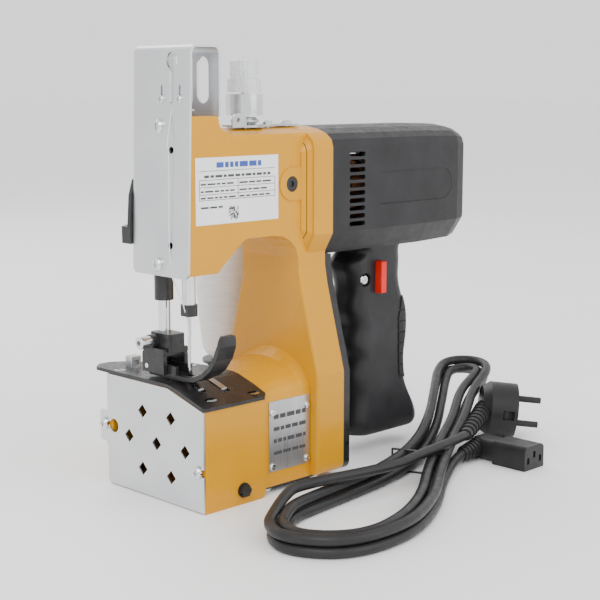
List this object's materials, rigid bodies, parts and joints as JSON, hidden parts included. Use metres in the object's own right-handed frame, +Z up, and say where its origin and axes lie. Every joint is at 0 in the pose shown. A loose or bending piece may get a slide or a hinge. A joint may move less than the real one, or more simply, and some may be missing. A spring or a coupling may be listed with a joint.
{
  "type": "bag closer sewing machine",
  "caption": "Hand-held bag-closing sewing machine: yellow cast body with throat, needle and presser head, black motor, pistol grip, thread cone and power lead.",
  "frame": {"origin": "where the needle's axis meets the surface that the machine stands on, on the looper box's underside", "axes": "+X along the arm from the needle head to the motor, +Y the feed direction from the operator's side to the outlet side, +Z up"},
  "size_m": [0.3447, 0.2716, 0.2902],
  "materials": {
    "yellow_paint": "glossy enamel over a die casting",
    "light_sheet": "satin plated sheet",
    "steel": "ground and hardened",
    "bright_steel": "polished",
    "black_steel": "black oxide and enamel",
    "black_plastic": "fine spark texture",
    "soft_black": "soft grip",
    "red_plastic": "moulded",
    "clear_plastic": "milky translucent",
    "label_film": "printed film",
    "bronze": "sintered bronze",
    "copper": "enamelled windings and stack",
    "thread": "wound polyester thread",
    "belt_rubber": "toothed belt",
    "cord_pvc": "flexible sheath"
  },
  "bodies": {
    "machine": {"base_screws": "bright_steel", "bearing_bracket": "steel", "belt_cover": "black_steel", "body_casting": "yellow_paint", "bottom_cover": "black_steel", "bushes_and_bearings": "bronze", "carbon_brushes": "black_plastic", "case_screws": "bright_steel", "cord_connector": "cord_pvc", "cord_hank": "cord_pvc", "cord_plug": "cord_pvc", "cord_tie": "black_steel", "grip_pad": "soft_black", "handle_far_shell": "black_plastic", "handle_near_shell": "black_plastic", "handle_screws": "bright_steel", "head_cover": "light_sheet", "motor_housing": "black_plastic", "motor_rear_cap": "black_plastic", "name_plate": "light_sheet", "needle_bar_bushes": "bronze", "needle_plate": "black_steel", "needle_plate_screws": "bright_steel", "pivot_pins": "steel", "presser_bar_guides": "black_steel", "presser_spring": "steel", "side_fittings": "black_steel", "spec_label": "label_film", "stator": "copper", "switch_and_inlet": "black_plastic", "tension_bracket": "steel", "tension_discs": "bright_steel", "thread_cutter": "steel", "thread_guide_plate": "steel", "thread_stand": "black_steel", "timing_belt": "belt_rubber"},
    "front_sheet": {"front_cover": "light_sheet"},
    "needle_unit": {"needle_bar": "bright_steel", "needle_clamp": "black_steel", "needle": "bright_steel", "drive_stud": "steel"},
    "main_shaft_unit": {"crank": "steel", "main_shaft": "steel", "main_drive_wheels": "steel"},
    "rod_unit": {"connecting_rod": "steel"},
    "lower_shaft_unit": {"lower_shaft": "steel", "lower_pulley": "steel"},
    "looper_unit": {"looper": "steel"},
    "feed_unit": {"feed_dog": "steel"},
    "presser_unit": {"presser_bar": "bright_steel", "foot_holder": "black_steel", "foot_fasteners": "bright_steel"},
    "foot_unit": {"presser_foot": "black_steel"},
    "lifter_unit": {"presser_lifter": "black_steel"},
    "armature_unit": {"armature_shaft": "steel", "armature_core": "copper", "cooling_fan": "black_plastic"},
    "trigger_unit": {"trigger": "red_plastic"},
    "knob_unit": {"tension_knob": "clear_plastic"},
    "cone_unit": {"thread_cone": "thread"}
  },
  "joints": [
    {"name": "armature_spin", "type": "hinge", "parent": "machine", "child": "armature_unit", "pos_m": [0.17, 0.0101, 0.196], "axis": [1, 0, 0], "continuous": true},
    {"name": "main_shaft_spin", "type": "hinge", "parent": "machine", "child": "main_shaft_unit", "pos_m": [0.05, 0.004, 0.1785], "axis": [1, 0, 0], "continuous": true},
    {"name": "lower_shaft_spin", "type": "hinge", "parent": "machine", "child": "lower_shaft_unit", "pos_m": [0.05, 0.004, 0.038], "axis": [1, 0, 0], "continuous": true},
    {"name": "rod_swing", "type": "hinge", "parent": "needle_unit", "child": "rod_unit", "pos_m": [0.0124, 0, 0.22123], "axis": [1, 0, 0], "range_deg": [-25, 26]},
    {"name": "needle_stroke", "type": "slide", "parent": "machine", "child": "needle_unit", "axis": [0, 0, 1], "range_m": [-0.026, 0]},
    {"name": "feed_stroke", "type": "slide", "parent": "machine", "child": "feed_unit", "axis": [0, 1, 0], "range_m": [-0.002, 0.002]},
    {"name": "looper_rock", "type": "hinge", "parent": "machine", "child": "looper_unit", "pos_m": [0.005, 0.04, 0.016], "axis": [1, 0, 0], "range_deg": [-8, 3]},
    {"name": "presser_lift", "type": "slide", "parent": "machine", "child": "presser_unit", "axis": [0, 0, 1], "range_m": [0, 0.008], "deforming": ["presser_spring"]},
    {"name": "lifter_turn", "type": "hinge", "parent": "machine", "child": "lifter_unit", "pos_m": [0.002, 0.039, 0.205], "axis": [0, 1, 0], "range_deg": [0, 70]},
    {"name": "foot_tilt", "type": "hinge", "parent": "presser_unit", "child": "foot_unit", "pos_m": [0, 0.031, 0.086], "axis": [1, 0, 0], "range_deg": [-9, 0]},
    {"name": "trigger_press", "type": "slide", "parent": "machine", "child": "trigger_unit", "axis": [0, 1, 0], "range_m": [0, 0.003], "stiffness_N_per_m": 900, "springref_m": -0.001},
    {"name": "tension_turn", "type": "hinge", "parent": "machine", "child": "knob_unit", "pos_m": [0.0536, 0.0056, 0.27], "axis": [0, 0, 1], "range_deg": [-360, 360]},
    {"name": "cone_lift", "type": "slide", "parent": "machine", "child": "cone_unit", "axis": [0, 0, 1], "range_m": [0, 0.14]},
    {"name": "cover_slide", "type": "slide", "parent": "machine", "child": "front_sheet", "axis": [0, 1, 0], "range_m": [0, 0.0095]}
  ],
  "couplings": [
    {"joint": "main_shaft_spin", "follows": "armature_spin", "ratio": -0.22},
    {"joint": "lower_shaft_spin", "follows": "armature_spin", "ratio": -0.22},
    {"joint": "lifter_turn", "follows": "presser_lift", "rad_per_m": 152.72}
  ]
}
